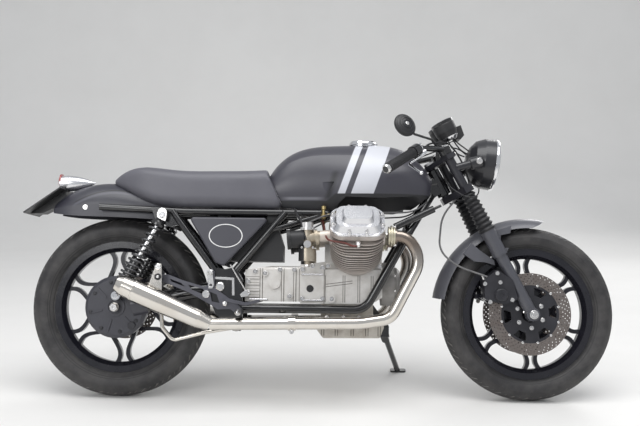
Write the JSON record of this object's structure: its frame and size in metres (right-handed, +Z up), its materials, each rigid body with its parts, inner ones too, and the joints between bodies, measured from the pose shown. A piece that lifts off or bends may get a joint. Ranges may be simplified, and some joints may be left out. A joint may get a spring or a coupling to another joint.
{
  "type": "cafe racer motorcycle",
  "caption": "Cafe racer motorcycle with a transverse V-twin, shaft drive and cast wheels, leaning on its side stand; wheels turn, fork steers, both stands swing.",
  "frame": {"origin": "on the floor, at the middle of the outline seen from above, as the machine is parked", "axes": "+X forward, +Y to the rider's left, the side it leans to, +Z up from the floor"},
  "size_m": [2.1776, 0.6862, 1.0442],
  "materials": {
    "frame_black": "gloss black enamel",
    "cast_black": "satin black cast alloy",
    "body_black": "satin black paint with silver stripes on the tank",
    "cast_alloy": "sand cast, dull",
    "fin_alloy": "heat-dulled cast fins",
    "polished_alloy": "polished",
    "stainless": "polished stainless steel",
    "disc_steel": "drilled brake steel",
    "chrome": "bright chrome",
    "seat_leather": "grained black leather",
    "tyre_rubber": "black tyre rubber",
    "hose_rubber": "dark grey braided hose",
    "gaiter_rubber": "ribbed black rubber",
    "matt_black": "satin black"
  },
  "bodies": {
    "front_wheel_body": {"front_tyre": "tyre_rubber", "front_wheel": "cast_black", "front_discs": "disc_steel"},
    "rear_wheel_body": {"rear_tyre": "tyre_rubber", "rear_wheel": "cast_black", "rear_disc": "disc_steel"},
    "fork_body": {"fork_yokes": "cast_black", "fork_sliders": "cast_black", "fork_gaiters": "gaiter_rubber", "headlamp": "matt_black", "instruments": "matt_black", "handlebars": "frame_black", "levers": "chrome", "mirror": "matt_black", "front_fender": "body_black", "front_calipers": "cast_black", "front_axle": "stainless", "brake_hose": "hose_rubber"},
    "side_stand_body": {"side_stand": "frame_black"},
    "centre_stand_body": {"centre_stand": "stainless"},
    "chassis": {"frame_head": "frame_black", "frame_rails": "frame_black", "rear_struts": "frame_black", "seat_struts": "frame_black", "frame_cradle": "frame_black", "pivot_plates": "frame_black", "swingarm": "frame_black", "shock_absorbers": "frame_black", "steering_damper": "frame_black", "final_drive": "cast_black", "fuel_tank": "body_black", "side_panels": "body_black", "tail_fender": "body_black", "crankcase": "cast_alloy", "gearbox": "cast_alloy", "sump": "cast_alloy", "front_cover": "cast_alloy", "rearsets": "cast_alloy", "cylinders": "fin_alloy", "rocker_covers": "polished_alloy", "tail_light": "polished_alloy", "carburettors": "polished_alloy", "exhaust_pipes": "stainless", "mufflers": "stainless", "rear_axle": "stainless", "fuel_cap": "chrome", "seat": "seat_leather", "throttle_cable_left": "hose_rubber", "throttle_cable_right": "hose_rubber", "number_plate": "matt_black", "battery_box": "matt_black", "horns": "matt_black"}
  },
  "joints": [
    {"name": "steering", "type": "hinge", "parent": "chassis", "child": "fork_body", "pos_m": [0.44446, -0.0015, 0.79201], "axis": [-0.4695, 0.1533, 0.8695], "range_deg": [-28, 28]},
    {"name": "front_wheel_spin", "type": "hinge", "parent": "fork_body", "child": "front_wheel_body", "pos_m": [0.7702, -0.08569, 0.31455], "axis": [0, 0.9848, -0.1736], "continuous": true},
    {"name": "rear_wheel_spin", "type": "hinge", "parent": "chassis", "child": "rear_wheel_body", "pos_m": [-0.7348, -0.08413, 0.32341], "axis": [0, 0.9848, -0.1736], "continuous": true},
    {"name": "side_stand_fold", "type": "hinge", "parent": "chassis", "child": "side_stand_body", "pos_m": [0.2502, 0.04803, 0.20913], "axis": [0.0357, 0.7126, 0.7006], "range_deg": [0, 94]},
    {"name": "centre_stand_drop", "type": "hinge", "parent": "chassis", "child": "centre_stand_body", "pos_m": [-0.2948, -0.09552, 0.25881], "axis": [0, -0.9848, 0.1736], "range_deg": [0, 88]}
  ]
}
